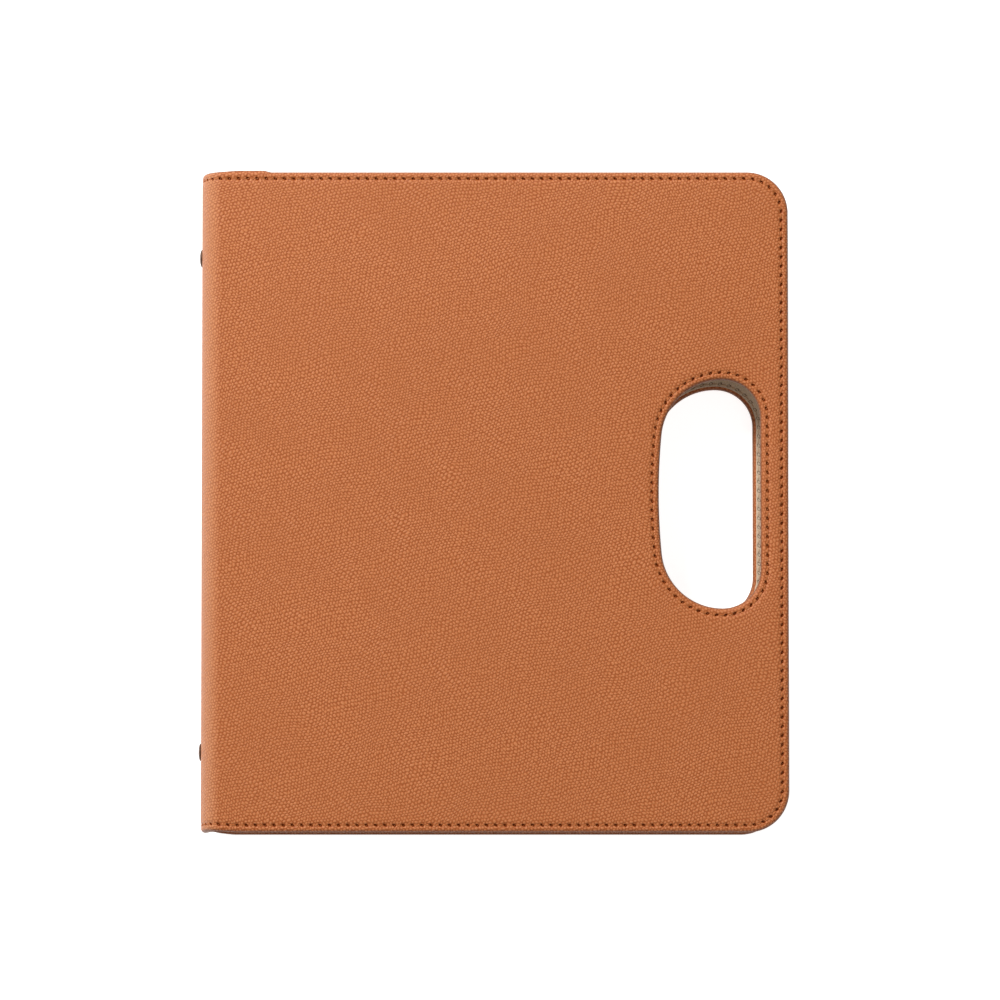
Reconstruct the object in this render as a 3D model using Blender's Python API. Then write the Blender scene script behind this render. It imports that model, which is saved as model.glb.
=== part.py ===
"""An A4 ring-binder portfolio with a carry-handle hole through both covers, closed, lying on its back cover.

X runs from the spine (-X) to the handle side (+X), Y along the spine, +Z up. The origin is under the middle of the
bounding box, on the surface that the back cover rests on. Spine pieces are drawn at (depth, Y, height): depth is how
far in from the outermost line of the spine, and height is counted from the spine's middle.
"""

import math

import bmesh
import bpy
from mathutils import Matrix, Vector

MM = 0.001
GAP = 0.3 * MM

# Driving dimensions
WIDTH = 286 * MM  # outermost line of the spine to the free edge of the front cover
LENGTH = 320 * MM
THICKNESS = 36 * MM  # closed, over both covers
COVER = 6 * MM  # thickness of one padded cover
CORNER_RADIUS = 20 * MM
BACK_SHORTER = 2.0 * MM  # the back cover's free edge and hole sit this much nearer the spine
SKEW = 3.0 * MM  # how far the front cover lies past the back cover along Y, because the spine is soft

LEATHER = 0.9 * MM
FOAM = 1.2 * MM
LINING = 0.8 * MM
BOARD = COVER - LEATHER - FOAM - LINING - 3 * GAP

SPINE_DEPTH = 10 * MM  # the spine is half an oval, this deep and as high as the closed folder
RIVET_PROUD = 1.2 * MM

HOLE_WIDTH = 49.3 * MM
HOLE_LENGTH = 111 * MM
HOLE_FROM_EDGE = 13.7 * MM  # the handle bar left beside the hole
HOLE_Y = 3.2 * MM  # the hole sits this far from the middle of its cover
HOLE_END_RADIUS = 18.5 * MM  # at the free edge's side; the other end arcs follow from it
HOLE_SIDE_RADIUS = 300 * MM  # the side that faces the spine bows outward

STIFFENER = (2.9 * MM, 4.1 * MM)  # near and far depth
SPINE_LINING = (4.4 * MM, 5.2 * MM)
STIFFENER_HALF = 8.5 * MM
SPINE_FOAM_HALF = 8.0 * MM
FOAM_FROM_END = 6 * MM
LINING_INSET = 0.5 * MM

MECHANISM_HALF = 139.5 * MM
PLATE_HALF_WIDTH = 7.5 * MM
PLATE_THICK = 0.8 * MM
PLATE_FOOT = 5.5 * MM
PLATE_SHOULDER = 8.6 * MM
PLATE_CROWN = 9.4 * MM
RIVET_Y = 120.8 * MM
RIVET_HEAD_RADIUS = 4.35 * MM
RIVET_RADIUS = 2.0 * MM
SLEEVE_RADIUS = 3.2 * MM

BLADE_THICK = 0.8 * MM
BLADE_HALF = 130.5 * MM
BLADE_PIVOT = (6.9 * MM, 6.3 * MM)  # depth and height of a blade's outer edge, where it turns
BLADE_REST_TILT = math.radians(9)
BLADE_GAP = 0.2 * MM  # half the space between the two blades
RING_YS = (-77.5 * MM, -32.5 * MM, 32.5 * MM, 77.5 * MM)
RING_RADIUS = 7.4 * MM  # to the middle of the wire
RING_WIRE = 1.1 * MM
RING_CENTRE = 14.5 * MM  # depth of the rings' middle
RING_FOOT = 7.75 * MM  # depth where a half ring ends above its blade
RING_SLOT = (2.3 * MM, 6.9 * MM)  # near and far height of the slots that the rings come out of
RING_SLOT_HALF = 1.7 * MM
SLOT_BOTTOM = 7.2 * MM

LEVER_PIVOT = (7.4 * MM, 135 * MM)  # depth, and distance along Y from the middle
LEVER_HALF_WIDTH = 5.9 * MM
LEVER_PIN_RADIUS = 0.7 * MM
LEVER_PIN_HALF = 7.9 * MM
LEVER_BAY_HALF = 6.3 * MM  # the open end of the plate, between its two ears

# Worked out from the driving dimensions
SPINE_X = (RIVET_PROUD - WIDTH) / 2  # the outermost line of the leather spine
FREE_X = SPINE_X + WIDTH
MIDDLE_Z = THICKNESS / 2
FRONT_Y, BACK_Y = SKEW / 2, -SKEW / 2
COVER_START = SPINE_X + SPINE_DEPTH

TAN = (0.60, 0.19, 0.07)
BEIGE = (0.62, 0.48, 0.36)
FOAM_WHITE = (0.75, 0.73, 0.68)
GREYBOARD = (0.32, 0.29, 0.26)
NICKEL = (0.72, 0.72, 0.70)
BRONZE = (0.10, 0.06, 0.045)


def clear_scene():
    for obj in list(bpy.data.objects):
        bpy.data.objects.remove(obj)


def material(name, colour, roughness, metallic):
    made = bpy.data.materials.new(name)
    made.use_nodes = True
    shader = made.node_tree.nodes["Principled BSDF"]
    shader.inputs["Base Color"].default_value = (*colour, 1)
    shader.inputs["Roughness"].default_value = roughness
    shader.inputs["Metallic"].default_value = metallic
    return made


def add_object(name, bm, finish, smooth=False):
    bmesh.ops.recalc_face_normals(bm, faces=bm.faces)
    mesh = bpy.data.meshes.new(name)
    bm.to_mesh(mesh)
    bm.free()
    if smooth:
        mesh.shade_smooth()
        mesh.set_sharp_from_angle(angle=math.radians(35))
    obj = bpy.data.objects.new(name, mesh)
    bpy.context.scene.collection.objects.link(obj)
    if finish:
        obj.data.materials.append(finish)
    return obj


def joint_empty(name, place):
    """An empty on a joint's axis, which the pieces of that moving body are parented to."""
    empty = bpy.data.objects.new(name, None)
    empty.location = place
    bpy.context.scene.collection.objects.link(empty)
    return empty


def hang(pieces, empty):
    """Parents pieces to an empty and leaves them where they are."""
    for obj in pieces:
        obj.parent = empty
        obj.matrix_parent_inverse = Matrix.Translation(-empty.location)


def arc(centre, radius, start_deg, end_deg, steps):
    """Points along an arc of the XY plane, both ends included."""
    angles = [math.radians(start_deg + (end_deg - start_deg) * i / steps) for i in range(steps + 1)]
    return [(centre[0] + radius * math.cos(a), centre[1] + radius * math.sin(a)) for a in angles]


def cover_outline(free_x, middle_y, inset, start_x=COVER_START):
    """A cover seen from above: square at the spine, round at its two free corners."""
    radius = CORNER_RADIUS - inset
    corner_x = free_x - CORNER_RADIUS
    corner_y = LENGTH / 2 - CORNER_RADIUS
    lower = arc((corner_x, middle_y - corner_y), radius, -90, 0, 8)
    upper = arc((corner_x, middle_y + corner_y), radius, 0, 90, 8)
    half = LENGTH / 2 - inset
    return [(start_x, middle_y - half), *lower, *upper, (start_x, middle_y + half)]


def hole_outline(free_x, middle_y, grow):
    """The handle hole: a straight side towards the free edge, a bowed side towards the spine, round ends."""
    half = HOLE_LENGTH / 2
    right = free_x - HOLE_FROM_EDGE
    left = right - HOLE_WIDTH
    middle_y = middle_y + HOLE_Y
    end_x = right - HOLE_END_RADIUS
    reach = left + HOLE_SIDE_RADIUS - end_x
    far_radius = (HOLE_SIDE_RADIUS**2 - reach**2 - half**2) / (2 * (HOLE_SIDE_RADIUS - half))
    turn = math.degrees(math.asin((half - far_radius) / (HOLE_SIDE_RADIUS - far_radius)))
    points = arc((end_x, middle_y + half - HOLE_END_RADIUS), HOLE_END_RADIUS + grow, 0, 90, 9)
    points += arc((end_x, middle_y + half - far_radius), far_radius + grow, 90, 180 - turn, 8)[1:]
    side = arc((left + HOLE_SIDE_RADIUS, middle_y), HOLE_SIDE_RADIUS + grow, 180 - turn, 180 + turn, 8)
    points += side[1:-1]
    points += arc((end_x, middle_y - half + far_radius), far_radius + grow, 180 + turn, 270, 8)[:-1]
    points += arc((end_x, middle_y - half + HOLE_END_RADIUS), HOLE_END_RADIUS + grow, 270, 360, 9)
    return points


def sheet(name, outlines, low, high, finish):
    """A flat sheet between two heights. The first outline is its edge and the others are holes through it."""
    bm = bmesh.new()
    for outline in outlines:
        ring = [bm.verts.new((x, y, low)) for x, y in outline]
        for a, b in zip(ring, ring[1:] + ring[:1], strict=True):
            bm.edges.new((a, b))
    bmesh.ops.triangle_fill(bm, use_beauty=True, edges=bm.edges[:], normal=(0, 0, 1))
    raised = bmesh.ops.extrude_face_region(bm, geom=bm.faces[:], use_keep_orig=True)["geom"]
    moved = [v for v in raised if isinstance(v, bmesh.types.BMVert)]
    bmesh.ops.translate(bm, vec=(0, 0, high - low), verts=moved)
    return add_object(name, bm, finish)


def extruded(name, section, low, high, axis, finish):
    """A closed section extruded along X, Y or Z. Its points are given in the other two coordinates, in that order."""

    def place(point, along):
        coords = list(point)
        coords.insert("XYZ".index(axis), along)
        return coords

    bm = bmesh.new()
    near = [bm.verts.new(place(p, low)) for p in section]
    far = [bm.verts.new(place(p, high)) for p in section]
    bm.faces.new(near)
    bm.faces.new(reversed(far))
    count = len(section)
    for i in range(count):
        j = (i + 1) % count
        bm.faces.new((near[j], near[i], far[i], far[j]))
    return add_object(name, bm, finish)


def turned(name, profile, centre_y, finish, steps=24):
    """A round piece turned about an axis along X. The profile is (depth, radius), closed by its first point."""
    bm = bmesh.new()
    rings = []
    for depth, radius in profile:
        ring = []
        for i in range(1 if radius == 0 else steps):
            a = 2 * math.pi * i / steps
            place = (SPINE_X + depth, centre_y + radius * math.cos(a), MIDDLE_Z + radius * math.sin(a))
            ring.append(bm.verts.new(place))
        rings.append(ring)
    for one, two in zip(rings, rings[1:] + rings[:1], strict=True):
        if len(one) == 1 and len(two) == 1:
            continue
        for i in range(steps):
            j = (i + 1) % steps
            corners = [one[i % len(one)], one[j % len(one)], two[j % len(two)], two[i % len(two)]]
            bm.faces.new(list(dict.fromkeys(corners)))
    return add_object(name, bm, finish, smooth=True)


def drill(near, far, radius):
    """The profile of a plain round cutter between two depths."""
    return [(near, 0), (near, radius), (far, radius), (far, 0)]


def block(name, low, high, finish=None):
    """A plain block between two corners."""
    bm = bmesh.new()
    size = [h - l for l, h in zip(low, high, strict=True)]
    middle = [(h + l) / 2 for l, h in zip(low, high, strict=True)]
    bmesh.ops.create_cube(bm, size=1, matrix=Matrix.Translation(middle) @ Matrix.Diagonal((*size, 1)))
    return add_object(name, bm, finish)


def cut(obj, cutter):
    """Cuts a piece with a hidden cutter, exactly."""
    cutter.hide_render = True
    cutter.display_type = "WIRE"
    boolean = obj.modifiers.new(cutter.name, "BOOLEAN")
    boolean.operation = "DIFFERENCE"
    boolean.solver = "EXACT"
    boolean.object = cutter


def make_cover(prefix, free_x, middle_y, outer_z, inward, finishes):
    """One padded cover as four layers. The leather is a tray that wraps the free edges and the handle hole."""

    def layer(name, inset, near, far, finish):
        outline = cover_outline(free_x, middle_y, inset)
        hole = hole_outline(free_x, middle_y, inset)
        heights = sorted((outer_z + inward * near, outer_z + inward * far))
        return sheet(f"{prefix}_{name}", [outline, hole], *heights, finish)

    wrap = COVER - LINING - GAP
    leather = layer("leather", 0, 0, wrap, finishes["leather"])
    inside = cover_outline(free_x, middle_y, LEATHER, COVER_START - SPINE_DEPTH)
    rim = hole_outline(free_x, middle_y, LEATHER)
    heights = sorted((outer_z + inward * LEATHER, outer_z + inward * 2 * COVER))
    cut(leather, sheet(f"{prefix}_tray_cutter", [inside, rim], *heights, None))
    foam_at = LEATHER + GAP
    board_at = foam_at + FOAM + GAP
    foam = layer("foam", LEATHER + GAP, foam_at, foam_at + FOAM, finishes["foam"])
    board = layer("board", LEATHER + GAP, board_at, board_at + BOARD, finishes["board"])
    lining = layer("lining", LINING_INSET, COVER - LINING, COVER, finishes["lining"])
    return [leather, foam, board, lining]


def spine_curve(inward):
    """The spine's half oval in X and Z, moved inward, from the back cover to the front one, ended short of both."""
    steps, end_turn = 20, math.radians(85)
    angles = [-end_turn + 2 * end_turn * i / steps for i in range(steps + 1)]
    depth, half_height = SPINE_DEPTH - inward, MIDDLE_Z - inward
    return [(COVER_START - depth * math.cos(a), MIDDLE_Z + half_height * math.sin(a)) for a in angles]


def make_spine(finishes):
    """The soft spine: leather, foam lens, stiffener strip and lining, with holes for the two rivets."""
    half = LENGTH / 2
    leather_section = spine_curve(0) + spine_curve(LEATHER)[::-1]
    leather = extruded("spine_leather", leather_section, -half, half, "Y", finishes["leather"])
    bowed = [p for p in spine_curve(LEATHER + GAP) if abs(p[1] - MIDDLE_Z) < SPINE_FOAM_HALF]
    flat_x = SPINE_X + STIFFENER[0] - GAP
    lens = [(flat_x, bowed[0][1]), *bowed, (flat_x, bowed[-1][1])]
    foam_half = half - FOAM_FROM_END
    foam = extruded("spine_foam", lens, -foam_half, foam_half, "Y", finishes["foam"])
    stiffener = block(
        "spine_stiffener",
        (SPINE_X + STIFFENER[0], -foam_half, MIDDLE_Z - STIFFENER_HALF),
        (SPINE_X + STIFFENER[1], foam_half, MIDDLE_Z + STIFFENER_HALF),
        finishes["board"],
    )
    near, far = (SPINE_X + d for d in SPINE_LINING)
    end_x = COVER_START - LINING
    top = MIDDLE_Z - COVER
    lining_section = [(near, -top), (end_x, -top), (end_x, LINING - top), (far, LINING - top)]
    lining_section += [(x, -z) for x, z in reversed(lining_section)]
    lining_section = [(x, MIDDLE_Z + z) for x, z in lining_section]
    lining_half = half - LINING_INSET
    lining = extruded("spine_lining", lining_section, -lining_half, lining_half, "Y", finishes["lining"])
    layers = [leather, foam, stiffener, lining]
    for word, side in (("upper", 1), ("lower", -1)):
        through = drill(-SPINE_DEPTH, SPINE_LINING[1] + GAP / 2, RIVET_RADIUS + GAP)
        cutter = turned(f"rivet_hole_cutter_{word}", through, side * RIVET_Y, None)
        for piece in layers:
            cut(piece, cutter)
    return layers


def make_rivets(finishes):
    """Two rivets through the spine and the ring plate, each with the sleeve that spaces the plate off the lining."""
    made = []
    for word, side in (("upper", 1), ("lower", -1)):
        back = -RIVET_PROUD
        under = -0.25 * MM
        peen = PLATE_CROWN + GAP
        profile = [
            (back, 0),
            (back + 0.08 * MM, 0.45 * RIVET_HEAD_RADIUS),
            (back + 0.35 * MM, 0.8 * RIVET_HEAD_RADIUS),
            (back + 0.7 * MM, RIVET_HEAD_RADIUS),
            (under, RIVET_HEAD_RADIUS),
            (under, RIVET_RADIUS),
            (peen, RIVET_RADIUS),
            (peen, 3.4 * MM),
            (peen + 0.5 * MM, 3.2 * MM),
            (peen + 0.9 * MM, 1.6 * MM),
            (peen + 1.0 * MM, 0),
        ]
        made.append(turned(f"rivet_{word}", profile, side * RIVET_Y, finishes["rivet"]))
        bore, top = RIVET_RADIUS + GAP, PLATE_SHOULDER - PLATE_THICK
        sleeve = [(PLATE_FOOT, bore), (PLATE_FOOT, SLEEVE_RADIUS), (top, SLEEVE_RADIUS), (top, bore)]
        made.append(turned(f"rivet_sleeve_{word}", sleeve, side * RIVET_Y, finishes["nickel"]))
    return made


def plate_section():
    """The ring plate's section in X and Z: a shallow crown with two straight feet."""
    steps = 12
    outer = []
    for i in range(steps + 1):
        s = -1 + 2 * i / steps
        outer.append((PLATE_CROWN - (PLATE_CROWN - PLATE_SHOULDER) * s * s, s * PLATE_HALF_WIDTH))
    shell = [(PLATE_FOOT, -PLATE_HALF_WIDTH), *outer, (PLATE_FOOT, PLATE_HALF_WIDTH)]
    narrower = 1 - PLATE_THICK / PLATE_HALF_WIDTH
    inner = [(d - PLATE_THICK, z * narrower) for d, z in outer]
    shell += [(PLATE_FOOT, inner[-1][1]), *reversed(inner), (PLATE_FOOT, inner[0][1])]
    return [(SPINE_X + d, MIDDLE_Z + z) for d, z in shell]


def make_ring_plate(finishes):
    """The steel plate that holds the ring mechanism, with slots for the rings and open ends for the levers."""
    plate = extruded("ring_plate", plate_section(), -MECHANISM_HALF, MECHANISM_HALF, "Y", finishes["nickel"])
    near, far = SPINE_X + SLOT_BOTTOM, SPINE_X + PLATE_CROWN + LEATHER
    for row, y in enumerate(RING_YS):
        for word, side in (("front", 1), ("back", -1)):
            heights = sorted(MIDDLE_Z + side * height for height in RING_SLOT)
            low = (near, y - RING_SLOT_HALF, heights[0])
            high = (far, y + RING_SLOT_HALF, heights[1])
            cut(plate, block(f"ring_slot_cutter_{word}_{row}", low, high))
    for word, side in (("upper", 1), ("lower", -1)):
        ys = sorted((side * (BLADE_HALF + 2 * GAP), side * (MECHANISM_HALF + PLATE_THICK)))
        low = (SPINE_X + PLATE_FOOT + PLATE_THICK, ys[0], MIDDLE_Z - LEVER_BAY_HALF)
        high = (far, ys[1], MIDDLE_Z + LEVER_BAY_HALF)
        cut(plate, block(f"lever_bay_cutter_{word}", low, high))
        through = drill(PLATE_FOOT, PLATE_CROWN + LEATHER, RIVET_RADIUS + GAP)
        cut(plate, turned(f"plate_hole_cutter_{word}", through, side * RIVET_Y, None))
        cut(plate, pin_rod(f"pin_hole_cutter_{word}", side, LEVER_PIN_RADIUS + GAP, 2 * PLATE_HALF_WIDTH, None))
    return plate


def pin_rod(name, side, radius, half_width, finish):
    """A round rod along Z through the lever's turning point."""
    bm = bmesh.new()
    place = Matrix.Translation((SPINE_X + LEVER_PIVOT[0], side * LEVER_PIVOT[1], MIDDLE_Z))
    bmesh.ops.create_cone(
        bm, cap_ends=True, segments=16, radius1=radius, radius2=radius, depth=2 * half_width, matrix=place
    )
    return add_object(name, bm, finish, smooth=True)


def make_lever(word, side, finish):
    """An end lever that opens and shuts the rings: a root under the blades and a thumb tab that rises outward."""
    tab = [
        (6.6, 131.6),
        (5.6, 134.2),
        (5.6, 135.8),
        (6.3, 137.0),
        (19.0, 147.0),
        (21.5, 147.3),
        (21.5, 145.8),
        (19.7, 145.4),
        (9.6, 135.6),
        (9.2, 133.8),
        (8.2, 131.6),
    ]
    section = [(SPINE_X + d * MM, side * y * MM) for d, y in tab]
    low, high = MIDDLE_Z - LEVER_HALF_WIDTH, MIDDLE_Z + LEVER_HALF_WIDTH
    lever = extruded(f"lever_{word}", section, low, high, "Z", finish)
    cut(lever, pin_rod(f"lever_hole_cutter_{word}", side, LEVER_PIN_RADIUS + GAP, 2 * LEVER_HALF_WIDTH, None))
    return lever


def make_blade(word, side, finish):
    """One of the two long blades under the ring plate. It turns about its outer edge and carries four half rings."""
    depth, height = BLADE_PIVOT
    along = Vector((math.sin(BLADE_REST_TILT), math.cos(BLADE_REST_TILT))) * (height - BLADE_GAP)
    across = Vector((math.cos(BLADE_REST_TILT), -math.sin(BLADE_REST_TILT))) * BLADE_THICK / 2
    outer = Vector((depth, height))
    inner = outer - along
    corners = [outer + across, outer - across, inner - across, inner + across]
    section = [(SPINE_X + d, MIDDLE_Z + side * h) for d, h in corners]
    blade = extruded(f"ring_blade_{word}", section, -BLADE_HALF, BLADE_HALF, "Y", finish)
    for end, sign in (("upper", 1), ("lower", -1)):
        round_sleeve = drill(0, PLATE_CROWN, SLEEVE_RADIUS + 2 * GAP)
        cut(blade, turned(f"blade_notch_cutter_{word}_{end}", round_sleeve, sign * RIVET_Y, None))
    return blade


def make_half_ring(word, side, row, y, finish):
    """Half a ring of round wire, from just above its blade to where it meets the other half."""
    steps, sides = 18, 12
    foot_turn = math.acos((RING_FOOT - RING_CENTRE) / RING_RADIUS)
    tip_turn = math.asin(GAP / 2 / RING_RADIUS)
    bm = bmesh.new()
    loops = []
    for i in range(steps + 1):
        a = foot_turn + (tip_turn - foot_turn) * i / steps
        loop = []
        for k in range(sides):
            b = 2 * math.pi * k / sides
            reach = RING_RADIUS + RING_WIRE * math.cos(b)
            depth = RING_CENTRE + reach * math.cos(a)
            height = side * reach * math.sin(a)
            loop.append(bm.verts.new((SPINE_X + depth, y + RING_WIRE * math.sin(b), MIDDLE_Z + height)))
        loops.append(loop)
    for one, two in zip(loops, loops[1:], strict=False):
        for k in range(sides):
            j = (k + 1) % sides
            bm.faces.new((one[k], one[j], two[j], two[k]))
    bm.faces.new(loops[0])
    bm.faces.new(loops[-1])
    return add_object(f"ring_half_{word}_{row + 1}", bm, finish, smooth=True)


def make_ring_mechanism(finishes, spine):
    """The plate, its two blades with their half rings, and the levers with their pins."""
    fixed = [make_ring_plate(finishes)]
    for word, side in (("front", 1), ("back", -1)):
        place = (SPINE_X + BLADE_PIVOT[0], 0, MIDDLE_Z + side * BLADE_PIVOT[1])
        moving = [make_blade(word, side, finishes["nickel"])]
        for row, y in enumerate(RING_YS):
            moving.append(make_half_ring(word, side, row, y, finishes["nickel"]))
        axis = joint_empty(f"rings_{word}_axis", place)
        hang(moving, axis)
        hang([axis], spine)
    for word, side in (("upper", 1), ("lower", -1)):
        axis = joint_empty(f"lever_{word}_axis", (SPINE_X + LEVER_PIVOT[0], side * LEVER_PIVOT[1], MIDDLE_Z))
        hang([make_lever(word, side, finishes["nickel"])], axis)
        hang([axis], spine)
        fixed.append(pin_rod(f"lever_pin_{word}", side, LEVER_PIN_RADIUS, LEVER_PIN_HALF, finishes["nickel"]))
    return fixed


def quarter_oval(depth, height):
    """Length of a quarter of an ellipse's edge, by Ramanujan's formula."""
    return math.pi * (3 * (depth + height) - math.sqrt((3 * depth + height) * (depth + 3 * height))) / 4


def hinge_inset():
    """How far in from the outer faces the covers turn, so that the spine leather is just taut when laid flat."""
    return (SPINE_DEPTH - (quarter_oval(SPINE_DEPTH, MIDDLE_Z) - MIDDLE_Z)) / 2


def main():
    clear_scene()
    finishes = {
        "leather": material("leather", TAN, 0.55, 0),
        "lining": material("lining", BEIGE, 0.95, 0),
        "foam": material("foam", FOAM_WHITE, 0.95, 0),
        "board": material("board", GREYBOARD, 0.9, 0),
        "nickel": material("nickel", NICKEL, 0.25, 1),
        "rivet": material("rivet", BRONZE, 0.35, 0.8),
    }
    inset = hinge_inset()
    spine_axis = joint_empty("spine_axis", (SPINE_X + inset, 0, inset))
    front_axis = joint_empty("front_cover_axis", (SPINE_X + inset, 0, THICKNESS - inset))
    make_cover("back_cover", FREE_X - BACK_SHORTER, BACK_Y, 0, 1, finishes)
    spine = make_spine(finishes) + make_rivets(finishes) + make_ring_mechanism(finishes, spine_axis)
    hang(spine, spine_axis)
    hang(make_cover("front_cover", FREE_X, FRONT_Y, THICKNESS, -1, finishes), front_axis)
    hang([front_axis], spine_axis)


main()
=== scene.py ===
"""Looks for a closed A4 ring-binder portfolio in tan pebble-grain leather, with a carry-handle hole.

Leather, lining and thread follow one unrolled surface per cover: s runs from the middle of the spine,
round it and out to the free edge, v runs along the spine from the cover's own middle, and h goes down
from the outer face.
"""

import math

import bmesh
import bpy
import numpy as np
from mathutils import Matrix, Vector


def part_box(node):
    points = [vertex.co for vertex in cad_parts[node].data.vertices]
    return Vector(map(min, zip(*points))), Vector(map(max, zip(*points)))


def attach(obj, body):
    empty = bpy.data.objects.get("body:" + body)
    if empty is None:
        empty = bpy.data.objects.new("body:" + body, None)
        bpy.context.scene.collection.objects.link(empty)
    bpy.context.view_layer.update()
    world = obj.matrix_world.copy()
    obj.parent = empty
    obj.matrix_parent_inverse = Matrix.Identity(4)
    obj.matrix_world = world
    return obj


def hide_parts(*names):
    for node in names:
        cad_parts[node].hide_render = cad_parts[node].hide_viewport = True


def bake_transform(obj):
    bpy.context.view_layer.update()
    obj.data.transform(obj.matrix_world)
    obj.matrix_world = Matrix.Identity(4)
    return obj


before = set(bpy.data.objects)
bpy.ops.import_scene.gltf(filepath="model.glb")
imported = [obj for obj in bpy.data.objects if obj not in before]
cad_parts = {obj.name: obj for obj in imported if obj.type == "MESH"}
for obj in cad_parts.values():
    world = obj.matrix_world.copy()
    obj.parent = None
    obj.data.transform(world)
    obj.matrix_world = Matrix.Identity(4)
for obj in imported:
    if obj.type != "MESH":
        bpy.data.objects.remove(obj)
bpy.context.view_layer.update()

MM = 0.001
FRONT, BACK = 1, -1
COVER_NAME = {FRONT: "front_cover", BACK: "back_cover"}
SHORT_NAME = {FRONT: "front", BACK: "back"}
LINING = 0.8 * MM

# Read from the frame
COVER_BOX = {side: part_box(f"{word}_leather") for side, word in COVER_NAME.items()}
SPINE_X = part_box("spine_leather")[0].x
START_X = COVER_BOX[FRONT][0].x
THICKNESS = COVER_BOX[FRONT][1].z
LENGTH = COVER_BOX[FRONT][1].y - COVER_BOX[FRONT][0].y
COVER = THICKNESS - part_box("front_cover_lining")[0].z
LINING_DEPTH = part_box("spine_lining")[0].x - SPINE_X + LINING
FREE_X = {side: box[1].x for side, box in COVER_BOX.items()}
MIDDLE_Y = {side: (box[0].y + box[1].y) / 2 for side, box in COVER_BOX.items()}
MIDDLE_Z = THICKNESS / 2
SPINE_DEPTH = START_X - SPINE_X
RIVET_Y = (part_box("rivet_upper")[0].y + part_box("rivet_upper")[1].y) / 2

# The cover's outline, as the part has it
CORNER_RADIUS = 20 * MM
HOLE_WIDTH = 49.3 * MM
HOLE_LENGTH = 111 * MM
HOLE_FROM_EDGE = 13.7 * MM
HOLE_V = 3.2 * MM
HOLE_END_RADIUS = 18.5 * MM
HOLE_SIDE_RADIUS = 300 * MM

# The spine and the covers' askew edges
INNER_ROUNDNESS = 0.6  # a power below 1 squares off the lining's section inside the spine
LIFT = 0.85 * MM  # the front cover's upper edge stands this much higher beside the spine
DROP = 0.65 * MM  # its lower edge lies this much lower

# Sewing
STITCH = 4.46 * MM
SAMPLES = 8  # samples of the sewing line to one stitch
EDGE_SEAM = 3.4 * MM  # from the cover's edge in to the sewing line
HOLE_SEAM = {FRONT: 3.4 * MM, BACK: 3.0 * MM}
THREAD_RADIUS = 0.34 * MM
THREAD_SIDES = 8
THREAD_SINK = 0.04 * MM  # how far the middle of a stitch's axis lies under the seam's groove
THREAD_DIP = 1.7 * MM  # how much deeper its ends go, into the needle holes
THREAD_TAPER = 0.45  # the share of its radius that it loses at its ends
PLY = 0.62 * MM  # along the thread, from one ply to the next
PIT_LENGTH = 0.78 * MM  # half of a needle hole, along the seam
PIT_WIDTH = 0.50 * MM  # half of it, across the seam
PIT_DEPTH = 0.9 * MM
PIT_SLANT = math.radians(25)  # a needle hole's long way against the seam
PIT_REACH = 1.2 * MM  # no needle hole is felt further than this from the sewing line
FACE_BAND = 0.4 * MM  # or deeper than this under a cover's outer or inner face

# Sections of leather and lining in millimetres, from the plateau, over the edge and back under it: each
# point is the distance in from the edge, the depth below the outer face and how much edge paint there is
LEATHER_SECTION = [
    (6.2, 0.0, 0),
    (5.3, 0.03, 0),
    (4.6, 0.12, 0),
    (4.1, 0.26, 0),
    (3.7, 0.32, 0),
    (3.4, 0.35, 0),
    (3.1, 0.32, 0),
    (2.75, 0.25, 0),
    (2.3, 0.19, 0),
    (1.8, 0.20, 0),
    (1.3, 0.33, 0.1),
    (0.85, 0.60, 0.3),
    (0.45, 1.02, 0.6),
    (0.15, 1.60, 0.85),
    (0.0, 2.30, 1),
    (0.0, 3.60, 1),
    (0.08, 4.30, 1),
    (0.35, 4.95, 0.8),
    (0.85, 5.30, 0.4),
    (1.6, 5.38, 0.1),
    (5.8, 5.38, 0),
    (5.8, 4.8, 0),
    (1.2, 4.5, 0),
    (0.95, 1.6, 0),
    (1.6, 1.15, 0),
    (6.2, 0.95, 0),
]
LINING_SECTION = [
    (6.2, 6.0, 0),
    (4.9, 5.98, 0),
    (4.2, 5.90, 0),
    (3.75, 5.80, 0),
    (3.4, 5.74, 0),
    (3.05, 5.80, 0),
    (2.75, 5.88, 0),
    (2.4, 5.94, 0),
    (2.1, 5.88, 0.3),
    (1.95, 5.72, 0.8),
    (1.9, 5.52, 1),
    (2.1, 5.42, 1),
    (6.2, 5.42, 0),
]
OUTER_GROOVE, INNER_GROOVE = 0.35 * MM, 5.74 * MM  # the depth of each sewing line, as in the sections
HINGE_MARGIN = 6 * MM  # how far past the spine the evenly divided part of each skin goes
HINGE_START = 0.45  # the share of the quarter oval at which hinge_line puts its first point

# Leather grain
PEBBLE = 1.7 * MM  # from one pebble of the grain to the next
WAVES = 4 * math.pi / math.sqrt(3)  # three waves this fast, 120 degrees apart, peak one pebble apart
LEATHER_TONES = [
    (0.0, (0.325, 0.079, 0.016)),
    (0.42, (0.44, 0.129, 0.035)),
    (0.9, (0.52, 0.182, 0.066)),
]

# Lights: place, size and power. The key is at the upper left.
LIGHTS = {
    "key": ((-1.5, 2.0, 2.1), 1.1, 142),
    "spine_light": ((-2.0, 0.1, 0.5), 0.25, 3.2),
    "fill": ((1.5, -0.9, 1.8), 1.6, 5),
}
SURROUND = 0.30  # the brightness of the white surround
FLOOR_REACH = 30.0


def quarter_oval():
    """Angles of the spine's quarter oval, from the middle to the cover, and the length along it at each."""
    angles = np.linspace(0, math.pi / 2, 600)
    pace = np.hypot(SPINE_DEPTH * np.sin(angles), MIDDLE_Z * np.cos(angles))
    steps = (pace[1:] + pace[:-1]) / 2 * np.diff(angles)
    return angles, np.concatenate([[0], np.cumsum(steps)])


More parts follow.
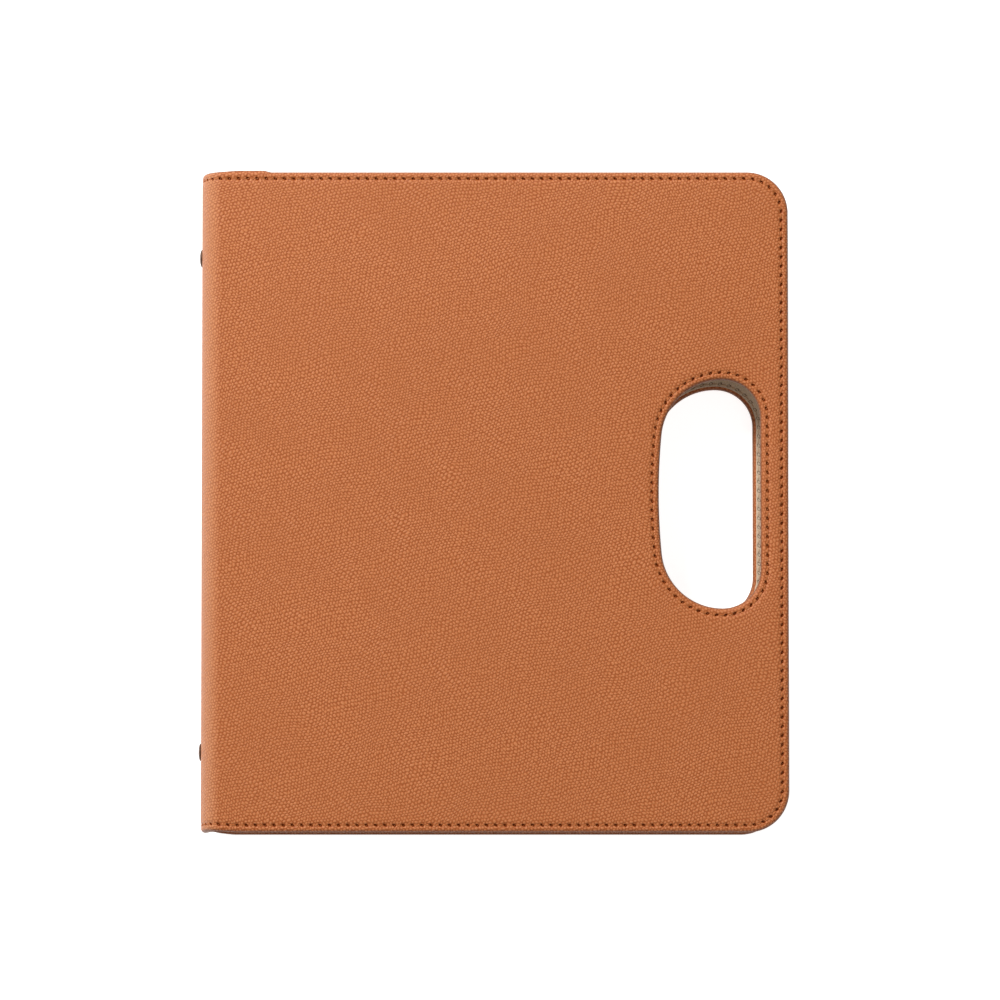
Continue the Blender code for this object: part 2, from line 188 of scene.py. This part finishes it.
OVAL_ANGLES, OVAL_LENGTHS = quarter_oval()
QUARTER = OVAL_LENGTHS[-1]
# Where each shift along Y comes in or goes out: s for the first four, v for the last two
SKEW = {FRONT: (0, 0.8 * QUARTER), BACK: (13 * MM, QUARTER + 7 * MM)}
LIFT_RISE = (17 * MM, 33 * MM)
LIFT_FALL = (QUARTER + 20.5 * MM, QUARTER + 25 * MM)
LIFT_HIGH = (LENGTH / 2 - 4.5 * MM, LENGTH / 2)
DROP_LOW = (120 * MM, LENGTH / 2)


def smoothstep(t):
    """0 up to t = 0, 1 from t = 1, and smooth between them."""
    t = np.clip(t, 0, 1)
    return t * t * (3 - 2 * t)


def step(value, low, high):
    """0 up to low, 1 from high, and smooth between them."""
    return smoothstep((value - low) / (high - low))


def shift_along(side, s, v):
    """How far along Y a point is moved. The covers lie askew, and meet at the middle of the spine."""
    shared = MIDDLE_Y[FRONT] * np.clip(v / LENGTH + 0.5, 0, 1)
    shift = shared + (MIDDLE_Y[side] - shared) * step(s, *SKEW[side])
    if side == FRONT:
        shift = shift + LIFT * step(v, *LIFT_HIGH) * step(s, *LIFT_RISE) * (1 - step(s, *LIFT_FALL))
        shift = shift - DROP * step(-v, *DROP_LOW) * step(s, *LIFT_RISE)
    return shift


def place(side, s, v, h):
    """Points of the row frame for unrolled coordinates."""
    s, v, h = np.broadcast_arrays(s, v, h)
    angle = np.interp(s, OVAL_LENGTHS, OVAL_ANGLES)
    cos, sin = np.clip(np.cos(angle), 0, 1), np.sin(angle)
    outer_depth, outer_height = SPINE_DEPTH * (1 - cos), MIDDLE_Z * sin
    inner_depth = SPINE_DEPTH - (SPINE_DEPTH - LINING_DEPTH) * cos**INNER_ROUNDNESS
    inner_height = (MIDDLE_Z - COVER) * sin**INNER_ROUNDNESS
    share = h / COVER
    depth = outer_depth + (inner_depth - outer_depth) * share
    height = outer_height + (inner_height - outer_height) * share
    x = SPINE_X + depth + np.maximum(s - QUARTER, 0)
    return np.stack([x, v + shift_along(side, s, v), MIDDLE_Z + side * height], -1)


def arc_points(centre, radius, start_deg, end_deg, count=60):
    """Points along an arc, and the arc's outward normal at each."""
    angles = np.radians(np.linspace(start_deg, end_deg, count))
    normals = np.stack([np.cos(angles), np.sin(angles)], -1)
    return np.array(centre) + radius * normals, normals


def resample(pieces, closed):
    """Joins runs of points and normals, and divides them evenly into whole stitches."""
    points = np.concatenate([p for p, _ in pieces])
    normals = np.concatenate([n for _, n in pieces])
    if closed:
        points = np.concatenate([points, points[:1]])
        normals = np.concatenate([normals, normals[:1]])
    steps = np.linalg.norm(np.diff(points, axis=0), axis=1)
    keep = np.concatenate([[True], steps > 1e-9])
    points, normals = points[keep], normals[keep]
    along = np.concatenate([[0], np.cumsum(np.linalg.norm(np.diff(points, axis=0), axis=1))])
    stitches = round(along[-1] / STITCH)
    at = np.linspace(0, along[-1], stitches * SAMPLES + 1)
    if closed:
        at = at[:-1]
    points = np.stack([np.interp(at, along, points[:, k]) for k in range(2)], -1)
    normals = np.stack([np.interp(at, along, normals[:, k]) for k in range(2)], -1)
    return points, normals / np.linalg.norm(normals, axis=1, keepdims=True)


def edge_seam(side):
    """The sewing line round the cover's three free sides, from the middle of the spine and back to it."""
    end = QUARTER + FREE_X[side] - START_X
    corner_s, corner_v = end - CORNER_RADIUS, LENGTH / 2 - CORNER_RADIUS
    radius = CORNER_RADIUS - EDGE_SEAM
    half = LENGTH / 2 - EDGE_SEAM
    lower_end, upper_end = np.array([[0.0, -half]]), np.array([[0.0, half]])
    return resample(
        [
            (lower_end, np.array([[0.0, -1.0]])),
            arc_points((corner_s, -corner_v), radius, -90, 0),
            arc_points((corner_s, corner_v), radius, 0, 90),
            (upper_end, np.array([[0.0, 1.0]])),
        ],
        closed=False,
    )


def hole_seam(side):
    """The sewing line round the handle hole. Its normals point into the hole."""
    half = HOLE_LENGTH / 2
    right = QUARTER + FREE_X[side] - START_X - HOLE_FROM_EDGE
    left = right - HOLE_WIDTH
    end_s = right - HOLE_END_RADIUS
    reach = left + HOLE_SIDE_RADIUS - end_s
    far_radius = (HOLE_SIDE_RADIUS**2 - reach**2 - half**2) / (2 * (HOLE_SIDE_RADIUS - half))
    turn = math.degrees(math.asin((half - far_radius) / (HOLE_SIDE_RADIUS - far_radius)))
    grow = HOLE_SEAM[side]
    end_v, far_v = half - HOLE_END_RADIUS, half - far_radius
    runs = [
        arc_points((end_s, HOLE_V + end_v), HOLE_END_RADIUS + grow, 0, 90),
        arc_points((end_s, HOLE_V + far_v), far_radius + grow, 90, 180 - turn),
        arc_points((left + HOLE_SIDE_RADIUS, HOLE_V), HOLE_SIDE_RADIUS + grow, 180 - turn, 180 + turn),
        arc_points((end_s, HOLE_V - far_v), far_radius + grow, 180 + turn, 270),
        arc_points((end_s, HOLE_V - end_v), HOLE_END_RADIUS + grow, 270, 360),
    ]
    points, normals = resample(runs, closed=True)
    return points, -normals


def join_rows(mesh, rows, closed):
    """Faces between rows of vertices that have the same number each. Closed rows are loops."""
    for one, two in zip(rows, rows[1:], strict=False):
        for i in range(len(one) if closed else len(one) - 1):
            j = (i + 1) % len(one)
            mesh.faces.new((one[i], one[j], two[j], two[i]))


def to_object(mesh, name, sharp=None):
    """A smooth object from a finished bmesh. Edges that turn by more than sharp degrees stay sharp."""
    bmesh.ops.recalc_face_normals(mesh, faces=mesh.faces)
    made = bpy.data.meshes.new(name)
    mesh.to_mesh(made)
    mesh.free()
    made.shade_smooth()
    if sharp:
        made.set_sharp_from_angle(angle=math.radians(sharp))
    obj = bpy.data.objects.new(name, made)
    bpy.context.scene.collection.objects.link(obj)
    return obj


class Skin:
    """One leather or lining skin in the making: bands round its edges, and flat fills between them."""

    def __init__(self, side):
        self.side = side
        self.mesh = bmesh.new()
        self.surface = self.mesh.verts.layers.float_vector.new("surface")
        self.pit = self.mesh.verts.layers.float.new("pit")
        self.rim = self.mesh.verts.layers.float.new("rim")

    def row(self, s, v, h, flat, pit, rim):
        """Vertices at unrolled coordinates. flat is where the grain is read from, in unrolled metres."""
        made = []
        for point, (a, b), deep in zip(place(self.side, s, v, h), flat, pit, strict=True):
            vert = self.mesh.verts.new(point)
            vert[self.surface] = (self.side * a, b, 0)
            vert[self.pit] = deep
            vert[self.rim] = rim
            made.append(vert)
        return made

    def band(self, seam, seam_inset, section, closed):
        """Rows of vertices along a sewing line, one for each point of the section, with needle holes."""
        points, normals = seam
        order = np.arange(len(points))
        along = ((order + SAMPLES // 2) % SAMPLES - SAMPLES // 2) * STITCH / SAMPLES
        towards = 1 if section[0][1] < section[-1][1] else -1
        rows = []
        travelled = section[0][0] * MM
        last = section[0]
        for inset, depth, rim in section:
            travelled -= math.hypot(inset - last[0], depth - last[1]) * MM
            last = (inset, depth, rim)
            inset, depth = inset * MM, depth * MM
            outward = EDGE_SEAM - inset
            on_face = abs(outward) < PIT_REACH and min(depth, COVER - depth) < FACE_BAND
            lengthwise = along * math.cos(PIT_SLANT) + outward * math.sin(PIT_SLANT)
            crosswise = outward * math.cos(PIT_SLANT) - along * math.sin(PIT_SLANT)
            closeness = np.exp(-((lengthwise / PIT_LENGTH) ** 2) - (crosswise / PIT_WIDTH) ** 2)
            pit = closeness if on_face else np.zeros(len(points))
            shift = seam_inset - EDGE_SEAM
            reach = seam_inset - inset - shift * smoothstep(inset / EDGE_SEAM)
            at = points + normals * reach
            flat = points + normals * (seam_inset - travelled)
            rows.append(self.row(at[:, 0], at[:, 1], depth + towards * pit * PIT_DEPTH, flat, pit, rim))
        join_rows(self.mesh, rows, closed)
        return rows

    def hinge(self, loop, depth, columns, rows=6):
        """The evenly divided part over the spine, between the lower and the upper run of a loop."""
        lower, upper = loop[:columns], loop[::-1][:columns]
        low, high = (np.array([(*vert[self.surface].xy,) for vert in run]) for run in (lower, upper))
        grid = [lower]
        for k in range(1, rows):
            at = low + (high - low) * (k / rows)
            s, v = np.abs(at[:, 0]), at[:, 1]
            grid.append(self.row(s, v, depth, np.stack([s, v], -1), np.zeros(columns), 0))
        grid.append(upper)
        join_rows(self.mesh, grid, closed=False)
        return [row[-1] for row in grid]

    def fill(self, outline, hole):
        """Fills the flat part of a cover between its outline and the band round the handle hole."""
        edges = []
        for loop in (outline, hole):
            for one, two in zip(loop, loop[1:] + loop[:1], strict=True):
                edges.append(self.mesh.edges.get((one, two)) or self.mesh.edges.new((one, two)))
        bmesh.ops.triangle_fill(self.mesh, use_beauty=True, edges=edges, normal=(0, 0, self.side))

    def finish(self, name):
        """Closes the cut at the middle of the spine and makes the object."""
        open_edges = [e for e in self.mesh.edges if e.is_boundary]
        bmesh.ops.holes_fill(self.mesh, edges=open_edges)
        return to_object(self.mesh, name, sharp=50)


def make_skin(name, side, section):
    """A skin with a plateau, a sewn groove with needle holes, a rounded edge and a turned-in margin."""
    skin = Skin(side)
    outer = skin.band(edge_seam(side), EDGE_SEAM, section, closed=False)
    inner = skin.band(hole_seam(side), HOLE_SEAM[side], section, closed=True)
    columns = int(np.sum(edge_seam(side)[0][: len(outer[0]) // 3, 0] < QUARTER + HINGE_MARGIN))
    for k, depth in ((0, section[0][1]), (-1, section[-1][1])):
        last_column = skin.hinge(outer[k], depth * MM, columns)
        run = outer[k][columns - 1 : len(outer[k]) - columns + 1]
        skin.fill(run + last_column[1:-1][::-1], inner[k])
    return skin.finish(name)


def make_thread(name, side, depth, rise):
    """The stitches on one face of a cover, over its groove. Each dips into a needle hole at both ends."""
    mesh = bmesh.new()
    surface = mesh.verts.layers.float_vector.new("surface")
    count = SAMPLES + 1
    t = np.linspace(-1, 1, count)
    sink = depth - rise * (THREAD_SINK + THREAD_DIP * np.abs(t) ** 3)
    radii = THREAD_RADIUS * (1 - THREAD_TAPER * t**8)
    around = np.linspace(0, 2 * math.pi, THREAD_SIDES, endpoint=False)
    for points, closed in ((edge_seam(side)[0], False), (hole_seam(side)[0], True)):
        if closed:
            points = np.concatenate([points, points[:1]])
        for first in range(0, len(points) - 1, SAMPLES):
            run = points[first : first + count]
            centre = place(side, run[:, 0], run[:, 1], sink)
            up = place(side, run[:, 0], run[:, 1], sink - rise * MM) - centre
            up /= np.linalg.norm(up, axis=1, keepdims=True)
            along = np.gradient(centre, axis=0)
            along /= np.linalg.norm(along, axis=1, keepdims=True)
            across = np.cross(up, along)
            up = np.cross(along, across)
            loops = []
            for i in range(count):
                loop = []
                for a in around:
                    turned = math.cos(a) * across[i] + math.sin(a) * up[i]
                    vert = mesh.verts.new(centre[i] + radii[i] * turned)
                    vert[surface] = ((first + i) * STITCH / SAMPLES, a * THREAD_RADIUS, 0)
                    loop.append(vert)
                loops.append(loop)
            join_rows(mesh, loops, closed=True)
            mesh.faces.new(loops[0][::-1])
            mesh.faces.new(loops[-1])
    return to_object(mesh, name)


def lathe(name, profile, axis_y, steps=64):
    """A round piece turned about an axis along X at the middle of the spine. The profile is (X, radius)."""
    mesh = bmesh.new()
    rings = []
    for x, radius in profile:
        ring = []
        for i in range(1 if radius == 0 else steps):
            a = 2 * math.pi * i / steps
            point = (x, axis_y + radius * math.cos(a), MIDDLE_Z + radius * math.sin(a))
            ring.append(mesh.verts.new(point))
        rings.append(ring)
    for one, two in zip(rings, rings[1:], strict=False):
        for i in range(steps):
            j = (i + 1) % steps
            corners = [one[i % len(one)], one[j % len(one)], two[j % len(two)], two[i % len(two)]]
            mesh.faces.new(list(dict.fromkeys(corners)))
    return to_object(mesh, name, sharp=40)


def make_rivet(name, node, axis_y):
    """A domed rivet with a rolled rim outside, a shank, and a flat peened head over the ring plate."""
    low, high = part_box(node)
    radius = (high.y - low.y) / 2
    dome = [
        (low.x + (1 - math.cos(a)) * 0.95 * MM, radius * math.sin(a) * 0.97)
        for a in np.linspace(0, math.pi / 2, 14)
    ]
    seat = SPINE_X + 0.25 * MM
    shank = 2.0 * MM
    tail = high.x
    profile = dome + [
        (low.x + 1.02 * MM, radius),
        (low.x + 1.15 * MM, radius * 0.99),
        (seat, radius * 0.93),
        (seat, shank),
        (tail - 1.0 * MM, shank),
        (tail - 1.0 * MM, 3.3 * MM),
        (tail - 0.8 * MM, 3.4 * MM),
        (tail - 0.5 * MM, 3.25 * MM),
        (tail - 0.2 * MM, 2.4 * MM),
        (tail - 0.04 * MM, 1.2 * MM),
        (tail, 0),
    ]
    return lathe(name, profile, axis_y)


def material(name):
    """A new material with its tree and shader."""
    made = bpy.data.materials.new(name)
    made.use_nodes = True
    return made, made.node_tree, made.node_tree.nodes["Principled BSDF"]


def node(tree, kind, inputs=None, **settings):
    """Adds a shader node. Inputs are values, or sockets to link from."""
    made = tree.nodes.new(kind)
    for key, value in settings.items():
        setattr(made, key, value)
    for key, value in (inputs or {}).items():
        if isinstance(value, bpy.types.NodeSocket):
            tree.links.new(value, made.inputs[key])
        else:
            made.inputs[key].default_value = value
    return made


def math_node(tree, operation, one, two=0.0):
    """The result of one maths node."""
    return node(tree, "ShaderNodeMath", {0: one, 1: two}, operation=operation).outputs[0]


def map_range(tree, value, low, high, to_low=0.0, to_high=1.0, kind="SMOOTHSTEP"):
    """A value mapped from one range to another, and kept inside it."""
    inputs = {0: value, 1: low, 2: high, 3: to_low, 4: to_high}
    return node(tree, "ShaderNodeMapRange", inputs, interpolation_type=kind).outputs[0]


def ramp(tree, value, stops):
    """A colour ramp. Each stop is (place, linear colour)."""
    made = node(tree, "ShaderNodeValToRGB", {0: value})
    elements = made.color_ramp.elements
    while len(elements) < len(stops):
        elements.new(0.5)
    for element, (at, colour) in zip(elements, stops, strict=True):
        element.position = at
        element.color = (*colour, 1)
    return made.outputs[0]


def mix(tree, factor, one, two):
    """A colour between two. Each is a socket or a linear colour."""
    made = node(tree, "ShaderNodeMix", data_type="RGBA")
    for key, value in ((0, factor), (6, one), (7, two)):
        if isinstance(value, bpy.types.NodeSocket):
            tree.links.new(value, made.inputs[key])
        else:
            made.inputs[key].default_value = value if key == 0 else (*value, 1)
    return made.outputs[2]


def attribute(tree, name, output):
    """A mesh attribute: its "Vector" or its "Fac"."""
    return node(tree, "ShaderNodeAttribute", attribute_name=name).outputs[output]


def noise(tree, at, scale, detail, dimensions="2D", output=0):
    """Noise at a place: output 0 is a value, and output 1 is a colour to push by."""
    inputs = {0: at, 2: scale, 3: detail}
    return node(tree, "ShaderNodeTexNoise", inputs, noise_dimensions=dimensions).outputs[output]


def sum_of(tree, one, share_of_one, two, share_of_two):
    """Two values added up, each by its share."""
    one = math_node(tree, "MULTIPLY", one, share_of_one)
    two = math_node(tree, "MULTIPLY", two, share_of_two)
    return math_node(tree, "ADD", one, two)


def finish_bump(tree, shader, strength, distance, height):
    """Surface relief too fine for the mesh."""
    bump = node(tree, "ShaderNodeBump", {"Strength": strength, "Distance": distance, "Height": height})
    tree.links.new(bump.outputs[0], shader.inputs["Normal"])


def shifted(tree, at, place_in, scale, most):
    """A place on a surface, moved about by a noise of the given scale."""
    push = noise(tree, place_in, scale, 1.0, output=1)
    push = node(tree, "ShaderNodeVectorMath", {0: push, 1: (0.5, 0.5, 0.5)}, operation="SUBTRACT").outputs[0]
    push = node(tree, "ShaderNodeVectorMath", {0: push, 3: most}, operation="SCALE").outputs[0]
    return node(tree, "ShaderNodeVectorMath", {0: at, 1: push}, operation="ADD").outputs[0]


def leather_material():
    """Tan leather with small round pebbles packed in wavy rows, a paler tan over the spine's curve as
    painted sheen, needle holes coloured dark as painted shade, and edge paint.
    """
    made, tree, shader = material("pebbled_leather")
    flat = attribute(tree, "surface", "Vector")
    size = (PEBBLE, PEBBLE, 1)
    rows = node(tree, "ShaderNodeMapping", {0: flat, 3: size}, vector_type="TEXTURE").outputs[0]
    wavy = shifted(tree, rows, rows, 0.07, 3.0)
    warped = shifted(tree, wavy, rows, 0.6, 0.65)
    swell = None
    for degrees in (105, 225, 345):
        across = math.radians(degrees)
        wave = (WAVES * math.cos(across), WAVES * math.sin(across), 0)
        along = node(tree, "ShaderNodeVectorMath", {0: warped, 1: wave}, operation="DOT_PRODUCT").outputs[1]
        along = math_node(tree, "COSINE", along)
        swell = along if swell is None else math_node(tree, "ADD", swell, along)
    fine = noise(tree, rows, 2.4, 4.0)
    pebble = map_range(tree, swell, -1.4, 1.55)
    height = math_node(tree, "ADD", pebble, math_node(tree, "MULTIPLY", fine, 0.3))
    stain = noise(tree, rows, 1.1, 1.0)
    pebble = math_node(tree, "ADD", pebble, map_range(tree, stain, 0.25, 0.75, -0.34, 0.34, "LINEAR"))
    tone = math_node(tree, "ADD", pebble, map_range(tree, fine, 0.25, 0.75, -0.12, 0.12, "LINEAR"))
    colour = ramp(tree, tone, LEATHER_TONES)
    cloud = noise(tree, flat, 22.0, 3.0)
    colour = mix(tree, map_range(tree, cloud, 0.3, 0.7, 0.0, 0.2), colour, (0.380, 0.107, 0.027))
    # Painted sheen: over the spine's curve the colour is mixed towards a paler, greyer tan that stands in
    # for the highlight there.
    off_middle = math_node(tree, "ABSOLUTE", node(tree, "ShaderNodeSeparateXYZ", {0: flat}).outputs[0])
    painted_spine_sheen = map_range(tree, off_middle, QUARTER - 5 * MM, QUARTER + 1 * MM, 0.30, 0.0)
    colour = mix(tree, painted_spine_sheen, colour, (0.335, 0.187, 0.098))
    rim = attribute(tree, "rim", "Fac")
    colour = mix(tree, map_range(tree, rim, 0.05, 0.9, 0.0, 0.7), colour, (0.15, 0.062, 0.030))
    # Painted shade: the needle holes are coloured almost black-brown for the shade inside them, and further
    # down they lose their specular reflection too.
    pit = attribute(tree, "pit", "Fac")
    colour = mix(tree, map_range(tree, pit, 0.12, 0.36), colour, (0.11, 0.016, 0.002))
    tree.links.new(colour, shader.inputs["Base Color"])
    tree.links.new(map_range(tree, fine, 0.2, 0.8, 0.46, 0.60, "LINEAR"), shader.inputs["Roughness"])
    finish_bump(tree, shader, 0.55, 0.24 * MM, height)
    tree.links.new(map_range(tree, pit, 0.05, 0.30, 0.28, 0.0), shader.inputs["Specular IOR Level"])
    return made


def lining_material():
    """Beige microsuede with a brushed nap."""
    made, tree, shader = material("suede_lining")
    flat = attribute(tree, "surface", "Vector")
    nap = node(tree, "ShaderNodeMapping", {0: flat, 3: (1, 0.45, 1)}).outputs[0]
    hairs = noise(tree, nap, 2600.0, 3.0)
    tone = sum_of(tree, hairs, 0.8, noise(tree, flat, 45.0, 3.0), 0.2)
    colour = ramp(tree, tone, [(0.3, (0.42, 0.32, 0.225)), (0.7, (0.68, 0.545, 0.41))])
    # Painted shade: the needle holes in the lining are coloured near black for the shade inside them.
    pit = attribute(tree, "pit", "Fac")
    colour = mix(tree, map_range(tree, pit, 0.08, 0.30), colour, (0.040, 0.016, 0.008))
    tree.links.new(colour, shader.inputs["Base Color"])
    finish_bump(tree, shader, 0.5, 0.12 * MM, hairs)
    shader.inputs["Roughness"].default_value = 0.92
    shader.inputs["Specular IOR Level"].default_value = 0.15
    shader.inputs["Sheen Weight"].default_value = 0.35
    shader.inputs["Sheen Roughness"].default_value = 0.45
    return made


def thread_material(name, dark, light):
    """Twisted sewing thread: slanting plies that show in colour and bump."""
    made, tree, shader = material(name)
    flat = attribute(tree, "surface", "Vector")
    parts = node(tree, "ShaderNodeSeparateXYZ", {0: flat})
    slant = math_node(tree, "ADD", parts.outputs[0], math_node(tree, "MULTIPLY", parts.outputs[1], 1.1))
    wave = math_node(tree, "SINE", math_node(tree, "MULTIPLY", slant, 2 * math.pi / PLY))
    colour = ramp(tree, map_range(tree, wave, -1, 1), [(0.0, dark), (1.0, light)])
    tree.links.new(colour, shader.inputs["Base Color"])
    finish_bump(tree, shader, 0.6, 0.08 * MM, wave)
    shader.inputs["Roughness"].default_value = 0.6
    shader.inputs["Specular IOR Level"].default_value = 0.35
    return made


def metal_material(name, dark, light, rough, brushed, metallic=1.0):
    """Plated or browned steel with a faint brushed direction and small marks."""
    made, tree, shader = material(name)
    place_of = node(tree, "ShaderNodeTexCoord").outputs["Object"]
    strokes = node(tree, "ShaderNodeMapping", {0: place_of, 3: brushed}).outputs[0]
    lines = noise(tree, strokes, 1.0, 3.0, "3D")
    tone = sum_of(tree, lines, 0.6, noise(tree, place_of, 260.0, 4.0, "3D"), 0.4)
    tree.links.new(ramp(tree, tone, [(0.3, dark), (0.7, light)]), shader.inputs["Base Color"])
    tree.links.new(map_range(tree, tone, 0.3, 0.7, rough * 0.8, rough * 1.3), shader.inputs["Roughness"])
    finish_bump(tree, shader, 0.15, 0.03 * MM, lines)
    shader.inputs["Metallic"].default_value = metallic
    return made


def pulp_material(name, dark, light, size):
    """Greyboard or foam: fibres or cells at one size."""
    made, tree, shader = material(name)
    place_of = node(tree, "ShaderNodeTexCoord").outputs["Object"]
    specks = noise(tree, place_of, 1 / size, 4.0, "3D")
    tree.links.new(ramp(tree, specks, [(0.35, dark), (0.65, light)]), shader.inputs["Base Color"])
    finish_bump(tree, shader, 0.4, 0.1 * MM, specks)
    shader.inputs["Roughness"].default_value = 0.9
    return made


def dress(obj, finish):
    """Gives an object one material."""
    obj.data.materials.clear()
    obj.data.materials.append(finish)


def make_camera():
    """Looks almost straight down at the front cover, tipped a little towards -Y."""
    distance, tip = 2.05, math.radians(2.3)
    aim = Vector((3.5 * MM, 1.7 * MM, THICKNESS))
    data = bpy.data.cameras.new("camera")
    data.lens = 152.2
    data.sensor_width = 36
    obj = bpy.data.objects.new("camera", data)
    obj.location = aim + distance * Vector((0, -math.sin(tip), math.cos(tip)))
    obj.rotation_euler = (tip, 0, 0)
    bpy.context.scene.collection.objects.link(obj)
    bpy.context.scene.camera = obj


def make_light(name, place_at, size, power):
    """A square soft box aimed at the object."""
    data = bpy.data.lights.new(name, "AREA")
    data.size = size
    data.energy = power
    obj = bpy.data.objects.new(name, data)
    obj.location = place_at
    obj.rotation_euler = (-Vector(place_at)).to_track_quat("-Z", "Y").to_euler()
    bpy.context.scene.collection.objects.link(obj)


def make_studio():
    """A white lit floor, a pale surround and soft light from the upper left."""
    scene = bpy.context.scene
    scene.view_settings.view_transform = "Standard"
    world = bpy.data.worlds.new("surround")
    world.use_nodes = True
    world.node_tree.nodes["Background"].inputs[0].default_value = (1, 1, 1, 1)
    world.node_tree.nodes["Background"].inputs[1].default_value = SURROUND
    scene.world = world
    for name, (place_at, size, power) in LIGHTS.items():
        make_light(name, place_at, size, power)
    mesh = bpy.data.meshes.new("floor")
    reach = FLOOR_REACH
    corners = [(-reach, -reach, 0), (reach, -reach, 0), (reach, reach, 0), (-reach, reach, 0)]
    mesh.from_pydata(corners, [], [(0, 1, 2, 3)])
    floor = bpy.data.objects.new("floor", mesh)
    scene.collection.objects.link(floor)
    finish, _, shader = material("floor")
    shader.inputs["Base Color"].default_value = (0.6, 0.6, 0.6, 1)
    shader.inputs["Roughness"].default_value = 0.9
    shader.inputs["Emission Color"].default_value = (1, 1, 1, 1)
    shader.inputs["Emission Strength"].default_value = 0.85
    dress(floor, finish)


def hinge_line(side):
    """Two points on the outer face at v = 0: one part way round the spine's quarter oval, and one where the
    oval meets the cover.
    """
    start = place(side, HINGE_START * QUARTER, 0, 0)
    end = place(side, QUARTER, 0, 0)
    return (start[0], 0, start[2]), (end[0], 0, end[2])


make_camera()
make_studio()

leather = leather_material()
lining = lining_material()
tan_thread = thread_material("tan_thread", (0.38, 0.108, 0.022), (0.46, 0.140, 0.034))
beige_thread = thread_material("beige_thread", (0.33, 0.20, 0.12), (0.55, 0.38, 0.25))

for side in (FRONT, BACK):
    word, cover = SHORT_NAME[side], COVER_NAME[side]
    skin = make_skin(f"{word}_skin", side, LEATHER_SECTION)
    inside = make_skin(f"{word}_lining", side, LINING_SECTION)
    outer_thread = make_thread(f"{word}_stitches", side, OUTER_GROOVE, -1)
    inner_thread = make_thread(f"{word}_lining_stitches", side, INNER_GROOVE, 1)
    dress(skin, leather)
    dress(inside, lining)
    dress(outer_thread, tan_thread)
    dress(inner_thread, beige_thread)
    start, end = hinge_line(side)
    for piece, slot in (
        (skin, "tan_leather"),
        (inside, "suede_lining"),
        (outer_thread, "tan_leather"),
        (inner_thread, "suede_lining"),
    ):
        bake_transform(piece)
    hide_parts(f"{cover}_leather")
    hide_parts(f"{cover}_lining")
    if side == FRONT:
        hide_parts("spine_leather")
        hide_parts("spine_lining")

bronze = metal_material(
    "browned_rivet",
    dark=(0.07, 0.042, 0.030),
    light=(0.17, 0.105, 0.075),
    rough=0.36,
    brushed=(400, 400, 400),
    metallic=0.85,
)
nickel = metal_material(
    "nickel_plate",
    dark=(0.29, 0.29, 0.28),
    light=(0.44, 0.44, 0.42),
    rough=0.40,
    brushed=(900, 40, 900),
)
for word, side in (("upper", 1), ("lower", -1)):
    rivet = make_rivet(f"rivet_{word}_turned", f"rivet_{word}", side * RIVET_Y)
    dress(rivet, bronze)
    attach(rivet, "spine")
    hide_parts(f"rivet_{word}")

board = pulp_material("greyboard", (0.20, 0.18, 0.16), (0.38, 0.35, 0.31), 0.7 * MM)
foam = pulp_material("white_foam", (0.62, 0.60, 0.55), (0.82, 0.80, 0.75), 0.4 * MM)
for name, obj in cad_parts.items():
    if "foam" in name:
        dress(obj, foam)
    elif "board" in name or "stiffener" in name:
        dress(obj, board)
    elif not obj.hide_render:
        dress(obj, nickel)
